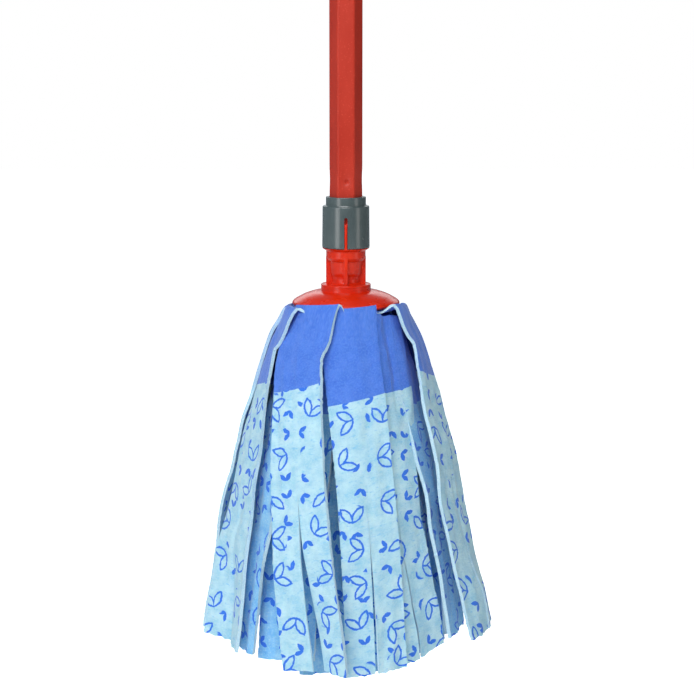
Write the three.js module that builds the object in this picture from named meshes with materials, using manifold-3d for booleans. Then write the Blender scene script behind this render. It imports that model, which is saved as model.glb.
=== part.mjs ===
// String mop: a hexagonal steel handle in three lengths, a plastic adapter, and a pull-off head
// whose cloth bands are clamped under a dome. Millimetres, +Z up, origin in the hanging eye.
import * as THREE from 'three';
import { mergeVertices } from 'three/addons/utils/BufferGeometryUtils.js';
import Module from 'manifold-3d';

const wasm = await Module();
wasm.setup();

// Whole mop
const GAP = 0.3;
const TUBE_LENGTH = 340;
const COLLAR_HEIGHT = 6;
const EYE_ABOVE_TUBE = 36;

// Hanging end cap and the couplers between tubes
const EYE_RADIUS = 5.5;
const TONGUE_HALF_WIDTH = 11;
const TONGUE_HALF_THICKNESS = 6;
const CAP_WALL = 1.5;
const CAP_SKIRT = 12;
const CAP_ABOVE_TUBE = 4;
const CAP_PLUG = 24;
const COUPLER_PLUG = 28;
const COUPLER_LIP = 1;
const COUPLER_BORE = 6.5;

// Hexagonal tube, flats to the front and back
const TUBE_FLATS = 21.4;
const TUBE_CORNER = 2;
const TUBE_WALL = 0.8;
const PLUG_FLATS = TUBE_FLATS - 2 * TUBE_WALL - 2 * GAP;
const PLUG_CORNER = TUBE_CORNER - TUBE_WALL - GAP;
const CRIMP_ABOVE_RING = 11.5;
const CRIMP_RADIUS = 4;
const CRIMP_DEPTH = 1.1;

// Head heights are above the dome's rim, which is z = 0 in the head's own group
const RIM_RADIUS = 39.8;
const FLANGE_RADIUS = 18.4;
const FLANGE_TOP = 14;
const NECK_RADIUS = 10.4;
const BULB_RADIUS = 11.9;
const FIN_RADIUS = 14.7;
const FIN_WIDTH = 2.8;
const BAND_BOTTOM = FLANGE_TOP + 17.4;
const BAND_RADIUS = 14.5;
const FLARE_TOP = 40.7;
const FLARE_RADIUS = 17.4;
const SPIGOT_RADIUS = 15;
const SPIGOT_TOP = 68.6;
const SPIGOT_BORE = 12.8;
const RIB_RADIUS = 17;
const RIB_WIDTH = 2;
const RIB_TOP = 58.9;

// Adapter
const SLEEVE_BOTTOM = 41.1;
const SLEEVE_TOP = 71.7;
const SLEEVE_RADIUS = 17.55;
const SLEEVE_TOP_RADIUS = 17.2;
const SLEEVE_BORE = 15.4;
const BORE_TOP = 69.4;
const SLOT_WIDTH = 2.6;
const SLOT_TOP = 64;
const POCKET_FLOOR = 72.3;
const RING_RADIUS = 14.75;
const RING_TOP = 78.3;
const PLUG_TOP = 102;
const TUBE_BOTTOM = POCKET_FLOOR + GAP;

// Cloth bands, nested one inside the other
const BAND_COUNT = 12;
const BAND_WIDTH = 42;
const CLOTH = 0.8;
const CLOTH_PITCH = 1.1;
const CLOTH_TOP = -2.5;
const SLIT_TOP = -111;
const SLIT_WIDTH = 1.6;
// Points [radius, height] of the outermost and innermost bands, from the clamp to the cut end
const OUTER_BAND = [[38, 0], [45, -3.8], [52.5, -15], [60.5, -36], [82.4, -109], [98.8, -186], [109, -247]];
const INNER_BAND = [[22, 0], [27, -3], [32, -12], [36.5, -30], [47, -97], [56, -172], [63, -240]];

// Clamp plate and its pegs
const PLATE_RADIUS = 20;
const PLATE_THICKNESS = 2.6;
const PEG_RADIUS = 1.7;
const PEG_CIRCLE = 14;
const PEG_TOP = 3.5;
const PEG_HOLE = PEG_RADIUS + GAP + 0.1;
const BOSS_BOTTOM = CLOTH_TOP + GAP;

// Facets to a turn, and a length that reaches past every band
const TURNS = 36;
const CLOTH_TURNS = 30;
const CLOTH_STEPS = 9;
const BEYOND = 300;

const finish = (color, roughness, metalness) => (
  new THREE.MeshStandardMaterial({ color, roughness, metalness })
);
const paintedSteel = () => finish(0xbf4b3e, 0.42, 0.1);
const greyPlastic = () => finish(0x464e50, 0.45, 0);
const redPlastic = () => finish(0xe0301e, 0.35, 0);
const clothFinish = () => finish(0x9cc4e8, 0.95, 0);

// Closed three.js geometry to a manifold body, without the slivers that collapse on an axis
function body(geometry) {
  const bare = new THREE.BufferGeometry();
  bare.setAttribute('position', geometry.getAttribute('position'));
  bare.setIndex(geometry.getIndex());
  const merged = mergeVertices(bare, 1e-4);
  const index = merged.getIndex().array;
  const triangles = [];
  for (let i = 0; i < index.length; i += 3) {
    const [a, b, c] = [index[i], index[i + 1], index[i + 2]];
    if (a !== b && b !== c && c !== a) triangles.push(a, b, c);
  }
  const vertProperties = new Float32Array(merged.getAttribute('position').array);
  const mesh = new wasm.Mesh({ numProp: 3, vertProperties, triVerts: new Uint32Array(triangles) });
  return new wasm.Manifold(mesh);
}

function geometryOf(solid) {
  const { vertProperties, triVerts } = solid.getMesh();
  const geometry = new THREE.BufferGeometry();
  geometry.setAttribute('position', new THREE.BufferAttribute(vertProperties, 3));
  geometry.setIndex(new THREE.BufferAttribute(triVerts, 1));
  geometry.computeVertexNormals();
  return geometry;
}

// Solid of revolution about Z; the profile runs from the lowest point outside to the top
function revolve(points, turns = TURNS) {
  const profile = points.map(([r, z]) => new THREE.Vector2(r, z));
  const geometry = new THREE.LatheGeometry(profile, turns);
  geometry.rotateX(Math.PI / 2);
  return body(geometry);
}

function rod(radius, bottom, top, turns = 24) {
  const geometry = new THREE.CylinderGeometry(radius, radius, top - bottom, turns);
  geometry.rotateX(Math.PI / 2);
  geometry.translate(0, 0, (top + bottom) / 2);
  return body(geometry);
}

function block(x, y, z) {
  const geometry = new THREE.BoxGeometry(x[1] - x[0], y[1] - y[0], z[1] - z[0]);
  geometry.translate((x[0] + x[1]) / 2, (y[0] + y[1]) / 2, (z[0] + z[1]) / 2);
  return body(geometry);
}

function ball(radius, x, y, z) {
  const geometry = new THREE.SphereGeometry(radius, 16, 10);
  geometry.translate(x, y, z);
  return body(geometry);
}

// Hexagonal prism with rounded corners; flats face +Y and -Y
function hexPrism(flats, corner, bottom, top) {
  const shape = new THREE.Shape();
  const reach = (flats / 2 - corner) / Math.cos(Math.PI / 6);
  for (let side = 0; side < 6; side += 1) {
    const angle = (side * Math.PI) / 3;
    const [x, y] = [reach * Math.cos(angle), reach * Math.sin(angle)];
    shape.absarc(x, y, corner, angle - Math.PI / 6, angle + Math.PI / 6);
  }
  shape.closePath();
  const depth = top - bottom;
  const geometry = new THREE.ExtrudeGeometry(shape, { depth, bevelEnabled: false, curveSegments: 2 });
  geometry.translate(0, 0, bottom);
  return body(geometry);
}

// The same cut or boss at the front, right, back and left
function fourAround(solid) {
  return wasm.Manifold.union([0, 90, 180, 270].map((turn) => solid.rotate([0, 0, turn])));
}

function tube(bottom) {
  const outside = hexPrism(TUBE_FLATS, TUBE_CORNER, bottom, bottom + TUBE_LENGTH);
  const inner = TUBE_FLATS - 2 * TUBE_WALL;
  const inside = hexPrism(inner, TUBE_CORNER - TUBE_WALL, bottom - 1, bottom + TUBE_LENGTH + 1);
  return outside.subtract(inside);
}

// The lower tube is dented at the front and back, so that it grips the adapter's plug
function crimps(radius, depth) {
  const out = TUBE_FLATS / 2 + radius - depth;
  const height = RING_TOP + CRIMP_ABOVE_RING;
  return ball(radius, 0, -out, height).add(ball(radius, 0, out, height));
}

function crimpedTube() {
  const outside = hexPrism(TUBE_FLATS, TUBE_CORNER, TUBE_BOTTOM, TUBE_BOTTOM + TUBE_LENGTH);
  const cup = crimps(CRIMP_RADIUS + TUBE_WALL, CRIMP_DEPTH + TUBE_WALL).intersect(outside);
  return tube(TUBE_BOTTOM).add(cup).subtract(crimps(CRIMP_RADIUS, CRIMP_DEPTH));
}

function adapter() {
  const sleeve = revolve([
    [0, SLEEVE_BOTTOM], [SLEEVE_RADIUS - 0.4, SLEEVE_BOTTOM], [SLEEVE_RADIUS, SLEEVE_BOTTOM + 0.4],
    [SLEEVE_TOP_RADIUS, SLEEVE_TOP - 0.8], [SLEEVE_TOP_RADIUS - 0.8, SLEEVE_TOP], [RING_RADIUS, SLEEVE_TOP],
    [RING_RADIUS, RING_TOP - 0.6], [RING_RADIUS - 0.6, RING_TOP], [0, RING_TOP],
  ]);
  const slotHalf = SLOT_WIDTH / 2;
  const slotEnd = new THREE.CylinderGeometry(slotHalf, slotHalf, 6, 16);
  slotEnd.translate(0, -17, 0);
  const slot = block([-slotHalf, slotHalf], [-20, -14], [SLEEVE_BOTTOM - 1, SLOT_TOP - slotHalf])
    .add(body(slotEnd).translate([0, 0, SLOT_TOP - slotHalf]));
  const pocket = hexPrism(TUBE_FLATS + 2 * GAP, TUBE_CORNER + GAP, POCKET_FLOOR, RING_TOP + 1);
  const plug = hexPrism(PLUG_FLATS, PLUG_CORNER, POCKET_FLOOR - 1, PLUG_TOP)
    .subtract(crimps(CRIMP_RADIUS + TUBE_WALL + GAP, CRIMP_DEPTH + TUBE_WALL + GAP));
  const lockMark = body(new THREE.SphereGeometry(1, 12, 8)).scale([0.7, 0.6, 1.35])
    .translate([0, 0.1 - SLEEVE_RADIUS, SLEEVE_BOTTOM + 7]).rotate([0, 0, 47]);
  return sleeve.subtract(rod(SLEEVE_BORE, SLEEVE_BOTTOM - 1, BORE_TOP, TURNS)).subtract(fourAround(slot))
    .subtract(pocket).add(plug).add(lockMark);
}

function coupler(collarBottom) {
  const bottom = collarBottom - COUPLER_PLUG;
  const top = collarBottom + COLLAR_HEIGHT + COUPLER_PLUG;
  const flats = TUBE_FLATS + 2 * COUPLER_LIP;
  const collarTop = collarBottom + COLLAR_HEIGHT;
  return hexPrism(PLUG_FLATS, PLUG_CORNER, bottom, top)
    .add(hexPrism(flats, TUBE_CORNER + COUPLER_LIP, collarBottom + GAP, collarTop - GAP))
    .subtract(rod(COUPLER_BORE, bottom - 1, top + 1));
}

// The eye's highest inside point is the origin of the whole mop
function endCap(tubeTop) {
  const tongue = new THREE.Shape();
  tongue.moveTo(-TONGUE_HALF_WIDTH, tubeTop + 2);
  tongue.lineTo(TONGUE_HALF_WIDTH, tubeTop + 2);
  tongue.lineTo(TONGUE_HALF_WIDTH, -EYE_RADIUS);
  tongue.absarc(0, -EYE_RADIUS, TONGUE_HALF_WIDTH, 0, Math.PI);
  tongue.closePath();
  const eye = new THREE.Path();
  eye.absarc(0, -EYE_RADIUS, EYE_RADIUS, 0, 2 * Math.PI);
  tongue.holes.push(eye);
  const depth = 2 * TONGUE_HALF_THICKNESS;
  const plate = new THREE.ExtrudeGeometry(tongue, { depth, bevelEnabled: false, curveSegments: 16 });
  plate.rotateX(Math.PI / 2);
  plate.translate(0, TONGUE_HALF_THICKNESS, 0);
  const outside = TUBE_FLATS + 2 * CAP_WALL;
  const skirt = hexPrism(outside, TUBE_CORNER + CAP_WALL, tubeTop - CAP_SKIRT, tubeTop + CAP_ABOVE_TUBE)
    .subtract(hexPrism(TUBE_FLATS + 2 * GAP, TUBE_CORNER + GAP, tubeTop - CAP_SKIRT - 1, tubeTop + GAP));
  const plug = hexPrism(PLUG_FLATS, PLUG_CORNER, tubeTop - CAP_PLUG, tubeTop + 1);
  return body(plate).add(skirt).add(plug);
}

function fourPegs(radius, bottom, top) {
  const peg = rod(radius, bottom, top, 10).translate([0, -PEG_CIRCLE, 0]);
  return fourAround(peg).rotate([0, 0, 45]);
}

function mopSocket() {
  const outside = revolve([
    [0, BOSS_BOTTOM], [22, BOSS_BOTTOM], [22.6, 6.2], [27.6, 4.8], [35, 1.1], [36.6, -1.2], [37.6, -1.8],
    [38.8, -1.5], [RIM_RADIUS, 0], [38.9, 1.5], [36.1, 3.4], [32.5, 5.5], [28.5, 7.1], [23.1, 8.65],
    [FLANGE_RADIUS, 9], [FLANGE_RADIUS, FLANGE_TOP - 0.5], [FLANGE_RADIUS - 0.5, FLANGE_TOP],
    [11.6, FLANGE_TOP], [10.7, FLANGE_TOP + 0.9], [NECK_RADIUS, FLANGE_TOP + 2.5], [10.5, FLANGE_TOP + 5.6],
    [11.4, FLANGE_TOP + 8], [BULB_RADIUS, FLANGE_TOP + 11.7], [BULB_RADIUS, BAND_BOTTOM],
    [13.6, BAND_BOTTOM + 0.6], [BAND_RADIUS, BAND_BOTTOM + 2.4], [BAND_RADIUS, FLARE_TOP - 2.2],
    [15.6, FLARE_TOP - 1.2], [FLARE_RADIUS, FLARE_TOP - 0.4], [FLARE_RADIUS, FLARE_TOP],
    [SPIGOT_RADIUS, FLARE_TOP], [SPIGOT_RADIUS, SPIGOT_TOP - 1], [SPIGOT_RADIUS - 1, SPIGOT_TOP],
    [0, SPIGOT_TOP],
  ]);
  const hollow = revolve([
    [0, 16], [7.4, 17], [8.2, 22], [9.4, 30], [12.4, 38], [SPIGOT_BORE, 41],
    [SPIGOT_BORE, SPIGOT_TOP + 1], [0, SPIGOT_TOP + 1],
  ]);
  const finHalf = FIN_WIDTH / 2;
  const fin = block([-finHalf, finHalf], [-FIN_RADIUS, -9.6], [FLANGE_TOP - 0.5, BAND_BOTTOM + 2.4]);
  const ribHalf = RIB_WIDTH / 2;
  const rib = block([-ribHalf, ribHalf], [-RIB_RADIUS, -14], [FLARE_TOP - 0.5, RIB_TOP]);
  return outside.add(fourAround(fin)).add(fourAround(rib)).subtract(hollow)
    .subtract(fourPegs(PEG_HOLE, BOSS_BOTTOM - 1, PEG_TOP + 0.6));
}

function clampPlate() {
  const top = CLOTH_TOP - BAND_COUNT * CLOTH_PITCH;
  const plate = revolve([
    [0, top - PLATE_THICKNESS], [PLATE_RADIUS - 1, top - PLATE_THICKNESS],
    [PLATE_RADIUS, top - PLATE_THICKNESS + 1], [PLATE_RADIUS, top], [0, top],
  ]);
  return plate.add(fourPegs(PEG_RADIUS, top - 1, PEG_TOP));
}

// Order 0 is the outermost band and BAND_COUNT - 1 the innermost; a band is the part of its own
// shell of revolution that lies within one cut width, so that it never meets its neighbours
function clothBand(order, azimuth) {
  const inward = (order / (BAND_COUNT - 1)) ** 1.2;
  const top = CLOTH_TOP - order * CLOTH_PITCH;
  const trim = 3.5 * Math.sin(2.4 * order);
  const route = OUTER_BAND.map(([r, z], i) => new THREE.Vector3(
    THREE.MathUtils.lerp(r, INNER_BAND[i][0], inward),
    0,
    top + THREE.MathUtils.lerp(z, INNER_BAND[i][1], inward) + (i === OUTER_BAND.length - 1 ? trim : 0),
  ));
  const curve = new THREE.CatmullRomCurve3(route, false, 'centripetal');
  const upper = [];
  const lower = [];
  for (let i = 0; i <= CLOTH_STEPS; i += 1) {
    const t = (i / CLOTH_STEPS) ** 1.4;
    const point = curve.getPoint(t);
    const along = i === 0 ? new THREE.Vector3(1, 0, 0) : curve.getTangent(t);
    upper.push([point.x, point.z]);
    lower.push([point.x + along.z * CLOTH, point.z - along.x * CLOTH]);
  }
  const shell = revolve([[0, top - CLOTH], ...lower, ...upper.reverse(), [0, top]], CLOTH_TURNS);
  const half = BAND_WIDTH / 2;
  const cut = block([-BEYOND, BEYOND], [-half, half], [-BEYOND, 0]);
  const slit = block([-BEYOND, BEYOND], [-SLIT_WIDTH / 2, SLIT_WIDTH / 2], [-BEYOND, SLIT_TOP]);
  return shell.intersect(cut.subtract(slit).rotate([0, 0, azimuth]))
    .subtract(fourPegs(PEG_HOLE, -30, 0));
}

function add(group, name, solid, material) {
  const mesh = new THREE.Mesh(geometryOf(solid), material);
  mesh.name = name;
  group.add(mesh);
}

const middleBottom = TUBE_BOTTOM + TUBE_LENGTH + COLLAR_HEIGHT;
const upperBottom = middleBottom + TUBE_LENGTH + COLLAR_HEIGHT;
const tubeTop = upperBottom + TUBE_LENGTH;
const eyeHeight = tubeTop + EYE_ABOVE_TUBE;

const head = new THREE.Group();
head.position.z = -eyeHeight;
add(head, 'upper_tube', tube(upperBottom), paintedSteel());
add(head, 'upper_coupler', coupler(upperBottom - COLLAR_HEIGHT), greyPlastic());
add(head, 'middle_tube', tube(middleBottom), paintedSteel());
add(head, 'lower_coupler', coupler(middleBottom - COLLAR_HEIGHT), greyPlastic());
add(head, 'lower_tube', crimpedTube(), paintedSteel());
add(head, 'handle_adapter', adapter(), greyPlastic());
add(head, 'mop_socket', mopSocket(), redPlastic());
add(head, 'clamp_plate', clampPlate(), redPlastic());

// Direction of each band through the clamp, in degrees from the front towards the right; together
// the twenty-four ends cover the whole circle
const bandTurns = [66, 118, 156, 12, 47, 130, 76, 147, 51, 107, 176, 14];
bandTurns.forEach((turn, order) => {
  const name = `cloth_band_${String(order + 1).padStart(2, '0')}`;
  add(head, name, clothBand(order, turn - 90), clothFinish());
});

const mop = new THREE.Group();
mop.add(head);
add(mop, 'end_cap', endCap(-EYE_ABOVE_TUBE), greyPlastic());

export default mop;
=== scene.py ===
"""String mop: the looks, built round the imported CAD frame.

Blender's lengths are metres. Sizes are named in millimetres, and MM turns them into metres.
"""

import math

import bpy
import numpy as np
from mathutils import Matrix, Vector, noise


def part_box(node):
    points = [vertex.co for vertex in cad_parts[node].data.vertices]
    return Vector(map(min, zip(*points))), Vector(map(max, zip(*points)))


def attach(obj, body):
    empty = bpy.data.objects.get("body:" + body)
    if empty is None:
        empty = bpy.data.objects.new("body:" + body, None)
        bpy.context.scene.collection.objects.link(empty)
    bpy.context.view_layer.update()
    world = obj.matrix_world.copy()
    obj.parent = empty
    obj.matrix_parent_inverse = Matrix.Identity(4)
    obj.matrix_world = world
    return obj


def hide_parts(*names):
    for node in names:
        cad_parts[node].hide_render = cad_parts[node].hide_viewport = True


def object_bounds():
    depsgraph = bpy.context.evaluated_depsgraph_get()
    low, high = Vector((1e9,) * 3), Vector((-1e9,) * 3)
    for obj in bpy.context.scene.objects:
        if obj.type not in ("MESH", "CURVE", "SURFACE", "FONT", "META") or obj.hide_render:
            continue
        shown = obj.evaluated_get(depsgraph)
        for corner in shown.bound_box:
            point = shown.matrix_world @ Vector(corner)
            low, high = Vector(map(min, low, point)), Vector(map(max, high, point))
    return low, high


MM = 0.001
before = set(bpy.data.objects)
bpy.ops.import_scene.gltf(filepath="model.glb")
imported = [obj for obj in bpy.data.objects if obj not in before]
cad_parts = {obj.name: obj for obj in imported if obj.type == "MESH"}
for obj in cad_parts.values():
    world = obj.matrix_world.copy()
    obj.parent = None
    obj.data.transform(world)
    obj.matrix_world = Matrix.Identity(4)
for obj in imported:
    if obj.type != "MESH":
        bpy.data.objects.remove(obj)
CAD_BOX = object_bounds()

# Driving dimensions, as in the CAD part. Heights on the head are above the dome's rim.
BOSS_BELOW_RIM = 2.2
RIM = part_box("mop_socket")[0].z + BOSS_BELOW_RIM * MM
TUBE_FLATS = 21.4
TUBE_CORNER = 2.0
TUBE_WALL = 0.8
CRIMP_HEIGHT = 89.8
PLUG_FLATS = 19.2
PLUG_CORNER = 0.9
EYE_RADIUS = 5.5

# Cloth bands: 12 strips, each through the clamp with an end on either side
BAND_COUNT = 12
OUTER_COUNT = 5
BAND_WIDTH = 42.0
HALF = BAND_WIDTH / 2
COLUMNS = 8
CLOTH_TOP = -2.5
CLOTH_PITCH = 1.1
SLIT_START = 163.0
ZONE_END = 99.8
HANG_START = 36
SHOULDER_AT = 47.5
SHOULDER_SPREAD = 5.5
NOISE_GAIN = 1.6
# Radius and height down the outermost and the innermost band
OUTER_BAND = [(38, 0), (45, -3.8), (52.5, -15), (60.5, -36), (82.4, -109), (98.8, -186), (109, -247)]
INNER_BAND = [(22, 0), (27, -3), (32, -12), (36.5, -30), (47, -97), (56, -172), (63, -240)]

# Camera: where the object was seen from
CAMERA_DISTANCE = 1.323
CAMERA_ABOVE_RIM = 0.1866
CAMERA_PITCH = 9.46
CAMERA_SIDE = 0.0008
LENS = 93.4

# Brightness of the surroundings: as light on the object, and as seen behind it
WORLD_LEFT = 0.32
WORLD_RIGHT = 0.04
WORLD_SEEN = 1.0
WORLD_TINT = (0.6, 0.84, 1, 1)
FLOOR_SEEN = 1.0
FLOOR_LIGHT = 0.12
FLOOR_HALF = 9.0
FLOOR_DROP = 0.25

SMOOTH_ANGLE = math.radians(35)
CLOTH_SMOOTH_ANGLE = math.radians(50)


def add_object(name, data):
    obj = bpy.data.objects.new(name, data)
    bpy.context.scene.collection.objects.link(obj)
    return obj


def spun(x, y, angle):
    """The point (x, y) turned about the mop's axis."""
    return x * math.cos(angle) - y * math.sin(angle), x * math.sin(angle) + y * math.cos(angle)


# ---- camera, floor and light
def make_camera():
    data = bpy.data.cameras.new("camera")
    data.lens = LENS
    data.sensor_width = 36
    data.clip_start, data.clip_end = 0.01, 100
    camera = add_object("camera", data)
    camera.location = (CAMERA_SIDE, -CAMERA_DISTANCE, RIM + CAMERA_ABOVE_RIM)
    camera.rotation_euler = (math.radians(90 - CAMERA_PITCH), 0, 0)
    bpy.context.scene.camera = camera


def area_light(name, azimuth, elevation, distance, size, power, colour=(1, 1, 1)):
    """A soft box that looks at the head; azimuth 0 is the camera's side, 90 the right."""
    a, e = math.radians(azimuth), math.radians(elevation)
    target = Vector((0, 0, RIM - 0.05))
    back = Vector((math.sin(a) * math.cos(e), -math.cos(a) * math.cos(e), math.sin(e)))
    data = bpy.data.lights.new(name, "AREA")
    data.shape = "RECTANGLE"
    data.size, data.size_y = size
    data.energy = power
    data.color = colour
    light = add_object(name, data)
    light.location = target + back * distance
    light.rotation_euler = back.to_track_quat("Z", "Y").to_euler()


def glow(tree, seen, unseen):
    """Brightness of a backdrop: one value where the camera sees it, another as light on the object."""
    ray = tree.nodes.new("ShaderNodeLightPath").outputs["Is Camera Ray"]
    mix = tree.nodes.new("ShaderNodeMix")
    tree.links.new(ray, mix.inputs["Factor"])
    mix.inputs["B"].default_value = seen
    if isinstance(unseen, bpy.types.NodeSocket):
        tree.links.new(unseen, mix.inputs["A"])
    else:
        mix.inputs["A"].default_value = unseen
    return mix.outputs["Result"]


def make_world():
    """Even light from all round, brighter from the left, and plain white behind the object."""
    world = bpy.data.worlds.new("studio")
    world.use_nodes = True
    tree = world.node_tree
    side = tree.nodes.new("ShaderNodeSeparateXYZ")
    tree.links.new(tree.nodes.new("ShaderNodeTexCoord").outputs["Generated"], side.inputs["Vector"])
    fall = tree.nodes.new("ShaderNodeMapRange")
    fall.inputs["From Min"].default_value = -1.0
    fall.inputs["To Min"].default_value = WORLD_LEFT
    fall.inputs["To Max"].default_value = WORLD_RIGHT
    tree.links.new(side.outputs["X"], fall.inputs["Value"])
    strength = glow(tree, WORLD_SEEN, fall.outputs["Result"])
    tree.links.new(strength, tree.nodes["Background"].inputs["Strength"])
    tint = tree.nodes.new("ShaderNodeMix")
    tint.data_type = "RGBA"
    tree.links.new(tree.nodes.new("ShaderNodeLightPath").outputs["Is Camera Ray"], tint.inputs["Factor"])
    tint.inputs["A"].default_value = WORLD_TINT
    tint.inputs["B"].default_value = (1, 1, 1, 1)
    tree.links.new(tint.outputs["Result"], tree.nodes["Background"].inputs["Color"])
    bpy.context.scene.world = world
    bpy.context.scene.view_settings.view_transform = "Standard"


def make_lights():
    area_light("key_left", -42, 12, 2.2, (0.8, 1.9), 12, (1, 0.99, 0.97))
    area_light("key_right", 62, 10, 2.2, (0.6, 1.8), 5.0, (1, 0.95, 0.9))
    area_light("front_fill", -8, 36, 1.8, (1.2, 0.9), 17)
    area_light("top", -20, 72, 2.0, (1.4, 1.4), 12)
    area_light("back", 180, 20, 2.2, (2.6, 0.6), 9)


def make_floor():
    z = CAD_BOX[0].z - FLOOR_DROP
    corners = [(x * FLOOR_HALF, y * FLOOR_HALF, z) for x, y in ((-1, -1), (1, -1), (1, 1), (-1, 1))]
    mesh = bpy.data.meshes.new("floor")
    mesh.from_pydata(corners, [], [(0, 1, 2, 3)])
    floor = add_object("floor", mesh)
    material = bpy.data.materials.new("floor_paint")
    material.use_nodes = True
    shader = material.node_tree.nodes["Principled BSDF"]
    shader.inputs["Base Color"].default_value = (0.9, 0.9, 0.9, 1)
    shader.inputs["Roughness"].default_value = 0.9
    shader.inputs["Emission Color"].default_value = (1, 1, 1, 1)
    brightness = glow(material.node_tree, FLOOR_SEEN, FLOOR_LIGHT)
    material.node_tree.links.new(brightness, shader.inputs["Emission Strength"])
    mesh.materials.append(material)


# ---- material helpers
def linear(r, g, b):
    """8-bit sRGB to the linear colour that the shader takes."""
    def one(c):
        c /= 255
        return c / 12.92 if c <= 0.04045 else ((c + 0.055) / 1.055) ** 2.4
    return (one(r), one(g), one(b), 1)


class Nodes:
    """A material with short calls for the nodes used here."""

    def __init__(self, name):
        self.material = bpy.data.materials.new(name)
        self.material.use_nodes = True
        self.tree = self.material.node_tree
        self.shader = self.tree.nodes["Principled BSDF"]

    def new(self, kind):
        return self.tree.nodes.new("ShaderNode" + kind)

    def link(self, value, socket):
        if isinstance(value, bpy.types.NodeSocket):
            self.tree.links.new(value, socket)
        else:
            socket.default_value = value

    def math(self, operation, a, b=0.0, c=0.0):
        node = self.new("Math")
        node.operation = operation
        for value, socket in zip((a, b, c), node.inputs):
            self.link(value, socket)
        return node.outputs[0]

    def ramp(self, value, low, high):
        """0 below low, 1 above high, smooth between; low may be the greater."""
        node = self.new("MapRange")
        node.interpolation_type = "SMOOTHSTEP"
        at_low, at_high = (1.0, 0.0) if low > high else (0.0, 1.0)
        self.link(value, node.inputs["Value"])
        node.inputs["From Min"].default_value = min(low, high)
        node.inputs["From Max"].default_value = max(low, high)
        node.inputs["To Min"].default_value = at_low
        node.inputs["To Max"].default_value = at_high
        return node.outputs["Result"]

    def mix(self, factor, a, b):
        node = self.new("Mix")
        node.data_type = "RGBA"
        self.link(factor, node.inputs["Factor"])
        self.link(a, node.inputs["A"])
        self.link(b, node.inputs["B"])
        return node.outputs["Result"]

    def position(self):
        return self.new("TexCoord").outputs["Object"]

    def vector(self, operation, *values):
        node = self.new("VectorMath")
        node.operation = operation
        for value, socket in zip(values, node.inputs):
            self.link(value, socket)
        return node.outputs["Vector"]

    def scaled(self, vector, scale):
        return self.vector("MULTIPLY", vector, scale)

    def axes(self, vector):
        node = self.new("SeparateXYZ")
        self.link(vector, node.inputs["Vector"])
        return node.outputs["X"], node.outputs["Y"]

    def noise(self, vector, scale, detail=3.0, roughness=0.55):
        node = self.new("TexNoise")
        self.link(vector, node.inputs["Vector"])
        node.inputs["Scale"].default_value = scale
        node.inputs["Detail"].default_value = detail
        node.inputs["Roughness"].default_value = roughness
        return node.outputs["Fac"]

    def bump(self, height, distance, strength=1.0, normal=None):
        node = self.new("Bump")
        node.inputs["Strength"].default_value = strength
        node.inputs["Distance"].default_value = distance
        self.link(height, node.inputs["Height"])
        if normal is not None:
            self.link(normal, node.inputs["Normal"])
        return node.outputs["Normal"]

    def finish(self, colour, roughness, normal=None, **fixed):
        self.link(colour, self.shader.inputs["Base Color"])
        self.link(roughness, self.shader.inputs["Roughness"])
        if normal is not None:
            self.link(normal, self.shader.inputs["Normal"])
        for name, value in fixed.items():
            self.shader.inputs[name.replace("_", " ")].default_value = value
        return self.material


# ---- materials
def painted_steel():
    n = Nodes("red_painted_steel")
    where = n.position()
    cloudy = n.noise(n.scaled(where, (1, 1, 0.25)), 60, 4)
    speck = n.noise(where, 900, 2)
    colour = n.mix(n.ramp(cloudy, 0.35, 0.7), linear(178, 42, 22), linear(190, 50, 30))
    colour = n.mix(n.ramp(speck, 0.62, 0.75), colour, linear(208, 70, 52))
    orange_peel = n.bump(n.noise(where, 420, 3), 0.00006, 0.5)
    rough = n.math("MULTIPLY_ADD", cloudy, 0.14, 0.3)
    return n.finish(colour, rough, orange_peel, Specular_IOR_Level=0.35)


def grey_plastic():
    n = Nodes("grey_moulded_plastic")
    where = n.position()
    cloudy = n.noise(where, 45, 3)
    grain = n.noise(where, 1600, 2)
    colour = n.mix(n.ramp(cloudy, 0.3, 0.75), linear(72, 83, 84), linear(82, 93, 93))
    colour = n.mix(n.math("MULTIPLY", n.ramp(grain, 0.6, 0.72), 0.4), colour, linear(92, 98, 98))
    surface = n.bump(grain, 0.00004, 0.35)
    rough = n.math("MULTIPLY_ADD", cloudy, 0.08, 0.2)
    return n.finish(colour, rough, surface, Specular_IOR_Level=0.9)


def red_plastic():
    n = Nodes("red_moulded_plastic")
    where = n.position()
    cloudy = n.noise(where, 50, 3)
    grain = n.noise(where, 1400, 2)
    colour = n.mix(n.ramp(cloudy, 0.3, 0.75), linear(216, 38, 6), linear(226, 48, 12))
    surface = n.bump(grain, 0.00003, 0.3)
    rough = n.math("MULTIPLY_ADD", cloudy, 0.1, 0.22)
    return n.finish(colour, rough, surface, Specular_IOR_Level=0.4)


def cell_grid(n, place, cell, seed):
    """Scattered cells: the place within its cell, three random numbers and the distance to its middle."""
    shifted = n.vector("ADD", place, (seed * 37.0, seed * 91.0, 0))
    cells = n.new("TexVoronoi")
    cells.voronoi_dimensions = "2D"
    cells.inputs["Scale"].default_value = 1 / cell
    cells.inputs["Randomness"].default_value = 0.45
    n.link(shifted, cells.inputs["Vector"])
    local = n.vector("SUBTRACT", shifted, cells.outputs["Position"])
    pick = n.new("SeparateColor")
    n.link(cells.outputs["Color"], pick.inputs["Color"])
    return local, pick.outputs, cells.outputs["Distance"]


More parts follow.
